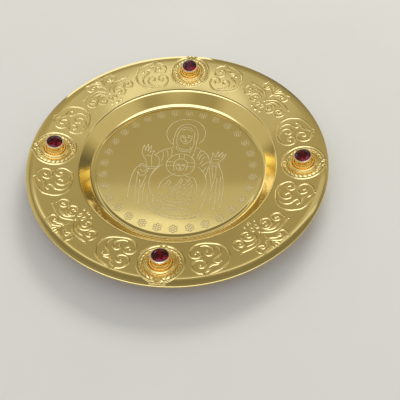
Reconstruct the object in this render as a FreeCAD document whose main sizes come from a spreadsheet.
import FreeCAD, Part
import math
import os
import Sketcher

# A small gilt liturgical plate: one pressed sheet with a shallow round well, a wide rim that rises
# outwards and a turned-down margin, and four red stones in raised settings screwed onto the rim.
# Millimetres. The origin is on the table under the middle of the well, +Z up, and the north setting
# is on +Y. A setting has its own axis, square to the sloping rim, and "up" on it is away from the rim.

SIZES = (
    ("plate_dia", 150.0, "across the outer edge of the rim"),
    ("sheet", 0.9, "thickness of the pressed sheet"),
    ("well_depth", 6.55, "from the lip of the well down to the floor"),
    ("lip_dia", 100.0, "where the wall of the well meets the rim"),
    ("wall_slope", 49.0, "degrees, wall of the well from level"),
    ("rim_slope", 10.8, "degrees, rim from level, rising outwards"),
    ("margin_dia", 146.0, "where the rim turns down"),
    ("margin_droop", 20.0, "degrees, margin below level"),
    ("foot_bend", 2.4, "inner radius of the bend at the foot of the wall"),
    ("lip_bend", 0.9, "inner radius of the bend at the lip"),
    ("margin_bend", 5.2, "inner radius of the bend at the margin"),
    ("edge_round", 0.3, "rounding of the outer edge"),
    ("setting_rad", 62.75, "plate axis to the axis of a setting, level"),
    ("seat_rad", 7.45, "flat seat under a collet"),
    ("seat_rise", 0.2, "seat above the rim"),
    ("wreath_inner", 7.7, "embossed wreath round the seat, inner radius"),
    ("wreath_outer", 9.3, "embossed wreath, outer radius"),
    ("wreath_rise", 0.75, "wreath above the rim"),
    ("groove_rise", 0.15, "groove between wreath and ridge, above the rim"),
    ("ridge_inner", 9.9, "embossed ridge round the wreath, inner radius"),
    ("ridge_outer", 10.9, "embossed ridge, outer radius"),
    ("ridge_rise", 0.5, "ridge above the rim"),
    ("emboss_slant", 0.15, "how far an embossed flank leans over its height"),
    ("emboss_root", 0.55, "how deep the embossed bands reach into the sheet"),
    ("hole_rad", 1.2, "clearance hole for the setting screw"),
    ("flange_rad", 7.3, "collet flange"),
    ("flange_edge", 0.45, "flange thickness at its edge"),
    ("flange_top", 0.6, "flange thickness nearer the neck"),
    ("step_outer", 6.3, "raised step on the flange, outer radius"),
    ("step_inner", 5.5, "raised step on the flange, inner radius"),
    ("step_top", 1.0, "height of the step"),
    ("neck_foot", 4.25, "radius of the neck at its foot"),
    ("waist_rad", 3.55, "radius of the neck at its waist"),
    ("waist_top", 2.1, "height of the waist"),
    ("cup_rad", 4.2, "outer radius of the cup"),
    ("cup_flare_top", 3.6, "height where the flare ends"),
    ("cup_top", 3.95, "height of the cup's mouth"),
    ("cup_mouth", 3.27, "radius of the cup's mouth inside"),
    ("cup_bottom", 2.0, "height of the point of the cup's hollow"),
    ("bore_rad", 1.0, "blind threaded bore for the setting screw"),
    ("bore_depth", 1.7, "depth of the bore"),
    ("bead_ring_rad", 4.8, "beaded wire, axis to bead centres"),
    ("bead_rad", 0.38, "one bead"),
    ("bead_wire", 0.26, "wire between the beads"),
    ("bead_lift", 0.99, "bead centres above the underside of the flange"),
    ("bead_count", 36, "beads in a ring"),
    ("bezel_outer", 4.4, "bezel, outer radius"),
    ("bezel_inner", 4.03, "bezel, inner radius round the girdle"),
    ("bezel_lip", 3.8, "bezel, inner radius of the lip turned over the stone"),
    ("bezel_shoulder", 4.63, "height where the bezel turns in"),
    ("bezel_top", 5.1, "height of the bezel's top"),
    ("notch_width", 0.3, "notch in the serrated edge of the bezel"),
    ("notch_drop", 0.35, "depth of a notch"),
    ("notch_count", 40, "notches round the bezel"),
    ("stone_rad", 4.0, "stone, radius at its girdle"),
    ("girdle_low", 4.45, "height of the girdle's lower edge"),
    ("girdle_high", 4.6, "height of the girdle's upper edge"),
    ("culet", 2.05, "height of the point under the stone"),
    ("crown_slope", 34.0, "degrees, main crown facets"),
    ("table_share", 0.56, "table corner radius, as a share of the stone's"),
    ("star_share", 0.76, "where the star facets end, the same way"),
    ("lower_share", 0.22, "where the lower girdle facets end, the same way"),
    ("screw_rad", 0.97, "shank of the setting screw"),
    ("screw_reach", 3.0, "shank length under the head"),
    ("head_rad", 2.0, "screw head"),
    ("head_deep", 1.5, "height of the screw head"),
    ("head_round", 0.6, "rounding of the screw head"),
    ("slot_width", 0.5, "driver slot"),
    ("slot_depth", 0.7, "depth of the driver slot"),
    ("washer_rad", 2.5, "washer, outer radius"),
    ("washer_hole", 1.1, "washer, hole radius"),
    ("washer_deep", 0.3, "washer thickness"),
)

# Each setting's name and its direction from the plate's axis, in degrees from +X.
SIDES = (("north", 90.0), ("east", 0.0), ("south", -90.0), ("west", 180.0))

# Where a new outline's rough ring of corners starts, before its constraints place them.
ROUGH_MIDDLE = 10.0
ROUGH_RADIUS = 5.0

FLAT = "0 deg"
WALL = "Sizes.wall_slope * 1 deg"
RIM = "Sizes.rim_slope * 1 deg"
MARGIN = "-Sizes.margin_droop * 1 deg"

doc = FreeCAD.newDocument("paten_plate")


def make_sheet():
    """The driving dimensions, one row each: name, number, what it is."""
    sheet = doc.addObject("Spreadsheet::Sheet", "Sizes")
    for row, (alias, number, meaning) in enumerate(SIZES, start=1):
        sheet.set("A%d" % row, alias)
        sheet.set("B%d" % row, str(number))
        sheet.set("C%d" % row, meaning)
        sheet.setAlias("B%d" % row, alias)
    doc.recompute()
    return sheet


sheet = make_sheet()


def size(alias):
    return float(sheet.get(alias))


def setting_height():
    """Height of the rim's upper surface at the axis of a setting."""
    rise = (size("setting_rad") - size("lip_dia") / 2) * math.tan(math.radians(size("rim_slope")))
    return size("sheet") + size("well_depth") + rise


def setting_placement(direction, lift=0.0):
    """The frame of a setting: its +Z leans towards the plate's axis, square to the rim."""
    lean = FreeCAD.Placement(FreeCAD.Vector(size("setting_rad"), 0, setting_height()),
                             FreeCAD.Rotation(FreeCAD.Vector(0, 1, 0), -size("rim_slope")))
    turn = FreeCAD.Placement(FreeCAD.Vector(), FreeCAD.Rotation(FreeCAD.Vector(0, 0, 1), direction))
    raised = FreeCAD.Placement(FreeCAD.Vector(0, 0, lift), FreeCAD.Rotation())
    return turn * lean * raised


def new_body(label):
    body = doc.addObject("PartDesign::Body", label)
    body.Label = label
    return body


def origin_part(body, role):
    """The body's own origin plane or axis with the given role."""
    return [feature for feature in body.Origin.OriginFeatures if feature.Role == role][0]


def add_outline(body, name, corners, plane="XZ_Plane"):
    """A closed sketch whose corners sit where their two expressions put them.

    It starts as a rough ring of lines; the constraints then move every corner to its place.
    """
    sketch = body.newObject("Sketcher::SketchObject", name)
    sketch.AttachmentSupport = (origin_part(body, plane), [""])
    sketch.MapMode = "FlatFace"
    count = len(corners)
    step = 2 * math.pi / count
    rough = [FreeCAD.Vector(ROUGH_MIDDLE + ROUGH_RADIUS * math.cos(i * step),
                            ROUGH_MIDDLE + ROUGH_RADIUS * math.sin(i * step), 0) for i in range(count)]
    for i in range(count):
        sketch.addGeometry(Part.LineSegment(rough[i], rough[(i + 1) % count]), False)
    for i in range(count):
        sketch.addConstraint(Sketcher.Constraint("Coincident", i, 2, (i + 1) % count, 1))
    for i, (across, up) in enumerate(corners):
        place_corner(sketch, i, "DistanceX", -2, across, rough[i].x)
        place_corner(sketch, i, "DistanceY", -1, up, rough[i].y)
    return sketch


def place_corner(sketch, line, kind, axis, expression, rough):
    """Holds the start of a line on a sketch axis, or at the distance that the expression gives."""
    if expression == "0":
        sketch.addConstraint(Sketcher.Constraint("PointOnObject", line, 1, axis))
        return
    index = sketch.addConstraint(Sketcher.Constraint(kind, -1, 1, line, 1, rough))
    sketch.setExpression("Constraints[%d]" % index, expression)


def add_revolution(body, name, sketch, kind="PartDesign::Revolution"):
    """The sketch turned a full turn about its own upright axis."""
    feature = body.newObject(kind, name)
    feature.Profile = sketch
    feature.ReferenceAxis = (sketch, ["V_Axis"])
    feature.Angle = 360
    doc.recompute()
    return feature


def add_pattern(body, name, originals, count):
    """The features repeated round the body's Z axis."""
    feature = body.newObject("PartDesign::PolarPattern", name)
    feature.Originals = originals
    feature.Axis = (origin_part(body, "Z_Axis"), [""])
    feature.Angle = 360
    feature.setExpression("Occurrences", count)
    body.Tip = feature
    doc.recompute()
    return feature


def circle_edge(feature, radius, height):
    """Name of the feature's full-circle edge with the given radius and height."""
    for number, edge in enumerate(feature.Shape.Edges, start=1):
        if (isinstance(edge.Curve, Part.Circle) and math.isclose(edge.Curve.Radius, radius, abs_tol=1e-6)
                and math.isclose(edge.Curve.Center.z, height, abs_tol=1e-6)):
            return "Edge%d" % number
    raise RuntimeError("%s has no round edge of radius %.3f at %.3f" % (feature.Label, radius, height))


def round_corner(body, name, base, sketch, corner, radius):
    """Rounds the edge that a corner of a turned section made."""
    place = sketch.Geometry[corner].StartPoint
    feature = body.newObject("PartDesign::Fillet", name)
    feature.Base = (base, [circle_edge(base, place.x, place.y)])
    feature.setExpression("Radius", radius)
    doc.recompute()
    return feature


def plus(*terms):
    return " + ".join("(%s)" % term for term in terms)


def below(across, up, before, after):
    """The corner of the sheet's lower face under a corner of its upper face.

    The section runs at the angle `before` up to the corner and at `after` beyond it.
    """
    share = "Sizes.sheet / (1 + cos((%s) - (%s)))" % (after, before)
    return (plus(across, "(sin(%s) + sin(%s)) * %s" % (before, after, share)),
            plus(up, "-(cos(%s) + cos(%s)) * %s" % (before, after, share)))


def dish_section():
    """Corners of the sheet's section: out along the lower face, back along the upper face."""
    lip = ("Sizes.lip_dia / 2", "Sizes.sheet + Sizes.well_depth")
    foot = ("Sizes.lip_dia / 2 - Sizes.well_depth / tan(%s)" % WALL, "Sizes.sheet")
    margin = ("Sizes.margin_dia / 2",
              plus(lip[1], "(Sizes.margin_dia - Sizes.lip_dia) / 2 * tan(%s)" % RIM))
    edge = ("Sizes.plate_dia / 2",
            plus(margin[1], "(Sizes.plate_dia - Sizes.margin_dia) / 2 * tan(%s)" % MARGIN))
    return (("0", "0"),
            (below(*foot, FLAT, WALL)[0], "0"),
            below(*lip, WALL, RIM),
            below(*margin, RIM, MARGIN),
            below(*edge, MARGIN, MARGIN),
            edge, margin, lip, foot,
            ("0", "Sizes.sheet"))


# The bends of the sheet and the rounding of its edge, each with its corner's place in dish_section.
BENDS = (("foot_bend_below", 1, "Sizes.foot_bend + Sizes.sheet"),
         ("lip_bend_below", 2, "Sizes.lip_bend"),
         ("margin_bend_below", 3, "Sizes.margin_bend"),
         ("edge_below", 4, "Sizes.edge_round"),
         ("edge_above", 5, "Sizes.edge_round"),
         ("margin_bend_above", 6, "Sizes.margin_bend + Sizes.sheet"),
         ("lip_bend_above", 7, "Sizes.lip_bend + Sizes.sheet"),
         ("foot_bend_above", 8, "Sizes.foot_bend"))


def medallion_section():
    """Seat, wreath band, groove and ridge, embossed round the axis of a setting."""
    return (("0", "-Sizes.emboss_root"),
            ("Sizes.ridge_outer", "-Sizes.emboss_root"),
            ("Sizes.ridge_outer", "Sizes.groove_rise"),
            ("Sizes.ridge_outer - Sizes.emboss_slant", "Sizes.ridge_rise"),
            ("Sizes.ridge_inner + Sizes.emboss_slant", "Sizes.ridge_rise"),
            ("Sizes.ridge_inner", "Sizes.groove_rise"),
            ("Sizes.wreath_outer + Sizes.emboss_slant", "Sizes.groove_rise"),
            ("Sizes.wreath_outer", "Sizes.wreath_rise"),
            ("Sizes.wreath_inner + Sizes.emboss_slant", "Sizes.wreath_rise"),
            ("Sizes.wreath_inner", "Sizes.seat_rise"),
            ("0", "Sizes.seat_rise"))


def put_on_rim(sketch):
    """Moves a sketch of the dish's XZ plane onto the axis of the east setting."""
    # The rotation starts at one degree, so that it has an axis for the angle's expression to use.
    turned = FreeCAD.Rotation(FreeCAD.Vector(0, 0, 1), 1.0)
    sketch.AttachmentOffset = FreeCAD.Placement(FreeCAD.Vector(), turned)
    rise = "(Sizes.setting_rad - Sizes.lip_dia / 2) * tan(%s)" % RIM
    sketch.setExpression("AttachmentOffset.Base.x", "Sizes.setting_rad")
    sketch.setExpression("AttachmentOffset.Base.y", plus("Sizes.sheet", "Sizes.well_depth", rise))
    sketch.setExpression("AttachmentOffset.Rotation.Angle", "Sizes.rim_slope")


def make_dish():
    """One pressed sheet: well, rim, margin, and the seats and screw holes of the four settings."""
    body = new_body("dish")
    outline = add_outline(body, "dish_section", dish_section())
    bent = add_revolution(body, "dish_shell", outline)
    for name, corner, radius in BENDS:
        bent = round_corner(body, name, bent, outline, corner, radius)

    section = add_outline(body, "medallion_section", medallion_section())
    put_on_rim(section)
    medallion = add_revolution(body, "medallion", section)
    bore_corners = (("0", "-Sizes.sheet * 2"), ("Sizes.hole_rad", "-Sizes.sheet * 2"),
                    ("Sizes.hole_rad", "Sizes.sheet"), ("0", "Sizes.sheet"))
    bore = add_outline(body, "screw_hole_section", bore_corners)
    put_on_rim(bore)
    before = medallion.Shape.Volume
    hole = add_revolution(body, "screw_hole", bore, "PartDesign::Groove")
    if hole.Shape.Volume >= before:
        raise RuntimeError("the screw hole cut nothing")
    add_pattern(body, "four_settings", [medallion, hole], str(len(SIDES)))
    return body


def make_collet(side, direction):
    """Turned cup: wide flange with a raised step, a waisted neck and a flared cup for the stone."""
    body = new_body(side + "_collet")
    corners = (("Sizes.bore_rad", "0"),
               ("Sizes.flange_rad", "0"),
               ("Sizes.flange_rad", "Sizes.flange_edge"),
               ("Sizes.step_outer + Sizes.emboss_slant", "Sizes.flange_top"),
               ("Sizes.step_outer", "Sizes.step_top"),
               ("Sizes.step_inner", "Sizes.step_top"),
               ("Sizes.step_inner - Sizes.emboss_slant", "Sizes.flange_top"),
               ("Sizes.neck_foot", "Sizes.flange_top"),
               ("Sizes.neck_foot - Sizes.emboss_slant", "2 * Sizes.flange_top"),
               ("Sizes.waist_rad", "Sizes.waist_top"),
               ("Sizes.cup_rad", "Sizes.cup_flare_top"),
               ("Sizes.cup_rad", "Sizes.cup_top"),
               ("Sizes.cup_mouth", "Sizes.cup_top"),
               ("0", "Sizes.cup_bottom"),
               ("0", "Sizes.bore_depth"),
               ("Sizes.bore_rad", "Sizes.bore_depth"))
    add_revolution(body, side + "_collet_turning", add_outline(body, side + "_collet_section", corners))
    body.Placement = setting_placement(direction, size("seat_rise"))
    return body


def make_bead_ring(side, direction):
    """A ring of beaded wire that lies on the flange round the foot of the neck."""
    body = new_body(side + "_bead_ring")
    wire = body.newObject("PartDesign::AdditiveTorus", side + "_bead_wire")
    wire.setExpression("Radius1", "Sizes.bead_ring_rad")
    wire.setExpression("Radius2", "Sizes.bead_wire")
    wire.setExpression("AttachmentOffset.Base.z", "Sizes.bead_lift")
    bead = body.newObject("PartDesign::AdditiveSphere", side + "_bead")
    bead.setExpression("Radius", "Sizes.bead_rad")
    bead.setExpression("AttachmentOffset.Base.x", "Sizes.bead_ring_rad")
    bead.setExpression("AttachmentOffset.Base.z", "Sizes.bead_lift")
    for feature in (wire, bead):
        feature.AttachmentSupport = (origin_part(body, "XY_Plane"), [""])
        feature.MapMode = "FlatFace"
    doc.recompute()
    add_pattern(body, side + "_beads", [bead], "Sizes.bead_count")
    body.Placement = setting_placement(direction, size("seat_rise"))
    return body


def make_bezel(side, direction):
    """Serrated ring on the cup's mouth, turned in over the edge of the stone."""
    body = new_body(side + "_bezel")
    corners = (("Sizes.bezel_inner", "Sizes.cup_top"),
               ("Sizes.bezel_outer", "Sizes.cup_top"),
               ("Sizes.bezel_outer", "Sizes.bezel_top - Sizes.emboss_slant"),
               ("Sizes.bezel_outer - Sizes.emboss_slant", "Sizes.bezel_top"),
               ("Sizes.bezel_lip + Sizes.emboss_slant / 2", "Sizes.bezel_top"),
               ("Sizes.bezel_lip", "Sizes.bezel_shoulder + Sizes.emboss_slant"),
               ("Sizes.bezel_inner", "Sizes.bezel_shoulder"))
    ring = add_revolution(body, side + "_bezel_turning", add_outline(body, side + "_bezel_section", corners))
    low = "Sizes.bezel_top - Sizes.notch_drop"
    notch_corners = (("Sizes.bezel_outer - Sizes.notch_drop", "Sizes.bezel_top"),
                     ("Sizes.bezel_outer", low),
                     ("Sizes.bezel_outer + Sizes.notch_drop", low),
                     ("Sizes.bezel_outer + Sizes.notch_drop", "Sizes.bezel_top + Sizes.notch_drop"),
                     ("Sizes.bezel_outer - Sizes.notch_drop", "Sizes.bezel_top + Sizes.notch_drop"))
    notch = body.newObject("PartDesign::Pocket", side + "_notch")
    notch.Profile = add_outline(body, side + "_notch_section", notch_corners)
    notch.setExpression("Length", "Sizes.notch_width")
    notch.Midplane = True
    doc.recompute()
    if notch.Shape.Volume >= ring.Shape.Volume:
        raise RuntimeError("the notch cut nothing")
    add_pattern(body, side + "_serration", [notch], "Sizes.notch_count")
    body.Placement = setting_placement(direction, size("seat_rise"))
    return body


def ring_point(radius, turn, height):
    """A point on the stone, with its turn counted in sixteenths of a circle."""
    angle = math.pi * turn / 8
    return FreeCAD.Vector(radius * math.cos(angle), radius * math.sin(angle), height)


def brilliant_faces():
    """The flat faces of a round brilliant cut, as lists of corners, all about one upright axis."""
    radius = size("stone_rad")
    low, high, culet = size("girdle_low"), size("girdle_high"), size("culet")
    table = size("table_share") * radius
    star = size("star_share") * radius
    lower = size("lower_share") * radius
    crown_fall = math.tan(math.radians(size("crown_slope")))
    pavilion_fall = (low - culet) / radius
    table_height = high + (radius - table) * crown_fall
    # The star's tip and the lower facets' tip lie in the planes of the main facets on both sides.
    facing = math.cos(math.pi / 8)
    star_height = table_height - (star * facing - table) * crown_fall
    lower_height = culet + lower * facing * pavilion_fall
    point = FreeCAD.Vector(0, 0, culet)
    faces = [[ring_point(table, turn, table_height) for turn in range(0, 16, 2)]]
    for main in range(0, 16, 2):
        left, right = main - 1, main + 1
        corner = ring_point(table, main, table_height)
        top, bottom = ring_point(radius, main, high), ring_point(radius, main, low)
        star_left, star_right = ring_point(star, left, star_height), ring_point(star, right, star_height)
        tip_left, tip_right = ring_point(lower, left, lower_height), ring_point(lower, right, lower_height)
        faces.append([corner, star_left, top, star_right])
        faces.append([corner, star_right, ring_point(table, main + 2, table_height)])
        faces.append([point, tip_left, bottom, tip_right])
        for side, star_tip, lower_tip in ((left, star_left, tip_left), (right, star_right, tip_right)):
            faces.append([star_tip, top, ring_point(radius, side, high)])
            faces.append([lower_tip, bottom, ring_point(radius, side, low)])
            faces.append([top, bottom, ring_point(radius, side, low), ring_point(radius, side, high)])
    return faces


def make_stone(side, direction):
    """Round brilliant-cut stone, built facet by facet."""
    faces = [Part.Face(Part.makePolygon(corners + corners[:1])) for corners in brilliant_faces()]
    stone = doc.addObject("Part::Feature", side + "_stone")
    solid = Part.Solid(Part.Shell(faces))
    if solid.Volume < 0:
        solid.reverse()
    stone.Shape = solid
    stone.Placement = setting_placement(direction, size("seat_rise"))
    return stone


def make_screw(side, direction):
    """Slotted pan-head screw from below: its head bears on the washer."""
    body = new_body(side + "_screw")
    bearing = "-Sizes.sheet - Sizes.washer_deep"
    end = bearing + " - Sizes.head_deep"
    corners = (("0", end),
               ("Sizes.head_rad", end),
               ("Sizes.head_rad", bearing),
               ("Sizes.screw_rad", bearing),
               ("Sizes.screw_rad", bearing + " + Sizes.screw_reach"),
               ("0", bearing + " + Sizes.screw_reach"))
    outline = add_outline(body, side + "_screw_section", corners)
    turning = add_revolution(body, side + "_screw_turning", outline)
    head = round_corner(body, side + "_screw_rounding", turning, outline, 1, "Sizes.head_round")
    half = "Sizes.slot_width / 2"
    slot_corners = (("-" + half, end), (half, end), (half, end + " + Sizes.slot_depth"),
                    ("-" + half, end + " + Sizes.slot_depth"))
    slot = body.newObject("PartDesign::Pocket", side + "_slot")
    slot.Profile = add_outline(body, side + "_slot_section", slot_corners)
    slot.setExpression("Length", "4 * Sizes.head_rad")
    slot.Midplane = True
    body.Tip = slot
    doc.recompute()
    if slot.Shape.Volume >= head.Shape.Volume:
        raise RuntimeError("the driver slot cut nothing")
    body.Placement = setting_placement(direction)
    return body


def make_washer(side, direction):
    body = new_body(side + "_washer")
    under = "-Sizes.sheet - Sizes.washer_deep"
    corners = (("Sizes.washer_hole", under), ("Sizes.washer_rad", under),
               ("Sizes.washer_rad", "-Sizes.sheet"), ("Sizes.washer_hole", "-Sizes.sheet"))
    add_revolution(body, side + "_washer_turning", add_outline(body, side + "_washer_section", corners))
    body.Placement = setting_placement(direction)
    return body


def make_group(label, members):
    """Identical fasteners kept as one node of separate solids."""
    group = doc.addObject("Part::Compound", label)
    group.Label = label
    group.Links = members
    return group


def make_parts():
    parts = [make_dish()]
    for side, direction in SIDES:
        parts.append(make_collet(side, direction))
        parts.append(make_bead_ring(side, direction))
        parts.append(make_bezel(side, direction))
        parts.append(make_stone(side, direction))
    parts.append(make_group("setting_screws", [make_screw(*side) for side in SIDES]))
    parts.append(make_group("setting_washers", [make_washer(*side) for side in SIDES]))
    return parts


def check_document():
    for item in doc.Objects:
        if "Invalid" in item.State or "Error" in item.State:
            raise RuntimeError("%s failed: %s" % (item.Label, item.State))


def export_parts(parts):
    os.makedirs("parts", exist_ok=True)
    for part in parts:
        if part.Shape.isNull() or not part.Shape.isValid() or not part.Shape.Solids:
            raise RuntimeError("%s has no valid solid" % part.Label)
    for part in parts:
        part.Shape.exportStep("parts/%s.step" % part.Label)
        box = part.Shape.BoundBox
        print("%-18s %3d solid(s)  %8.2f mm3  z %.2f to %.2f"
              % (part.Label, len(part.Shape.Solids), part.Shape.Volume, box.ZMin, box.ZMax))


all_parts = make_parts()
doc.recompute()
check_document()
export_parts(all_parts)
